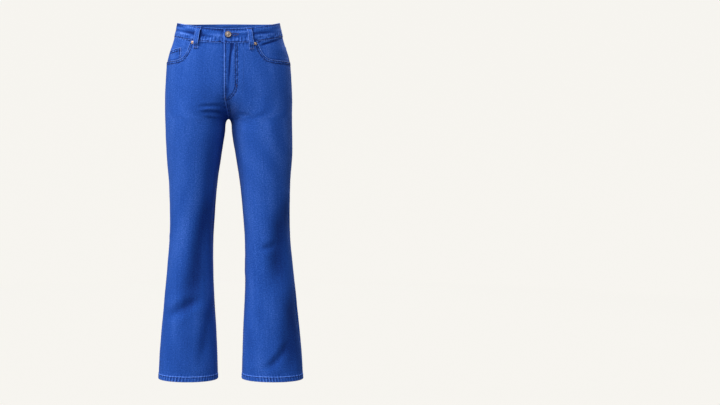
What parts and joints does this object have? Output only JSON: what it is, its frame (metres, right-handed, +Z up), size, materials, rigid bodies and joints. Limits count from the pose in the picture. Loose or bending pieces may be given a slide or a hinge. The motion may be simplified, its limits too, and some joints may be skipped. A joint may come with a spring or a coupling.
{
  "type": "bootcut jeans",
  "caption": "Women's bootcut jeans in blue stretch denim, hollow and open at the waist and hems, in the form that they keep when worn.",
  "frame": {"origin": "middle of the waist opening, at half the height of the waistband at the sides", "axes": "+Z up along the legs' length, -Y out of the front, +X towards the wearer's left"},
  "size_m": [0.4252, 0.2463, 1.0342],
  "materials": {
    "denim": "blue stretch denim twill, lightly mottled, with tonal thread",
    "button_metal": "antique nickel-brown metal with worn bright edges",
    "rivet_metal": "pale copper, lightly brushed"
  },
  "bodies": {
    "root": {"front_panel_left": "denim", "front_panel_right": "denim", "back_panel_left": "denim", "back_panel_right": "denim", "yoke_left": "denim", "yoke_right": "denim", "waistband": "denim", "pocket_facing_left": "denim", "pocket_facing_right": "denim", "coin_pocket": "denim", "back_pocket_left": "denim", "back_pocket_right": "denim", "belt_loop_front_left": "denim", "belt_loop_front_right": "denim", "belt_loop_side_left": "denim", "belt_loop_side_right": "denim", "belt_loop_back": "denim", "waist_button": "button_metal", "rivet_left": "rivet_metal", "rivet_right": "rivet_metal"}
  },
  "joints": []
}
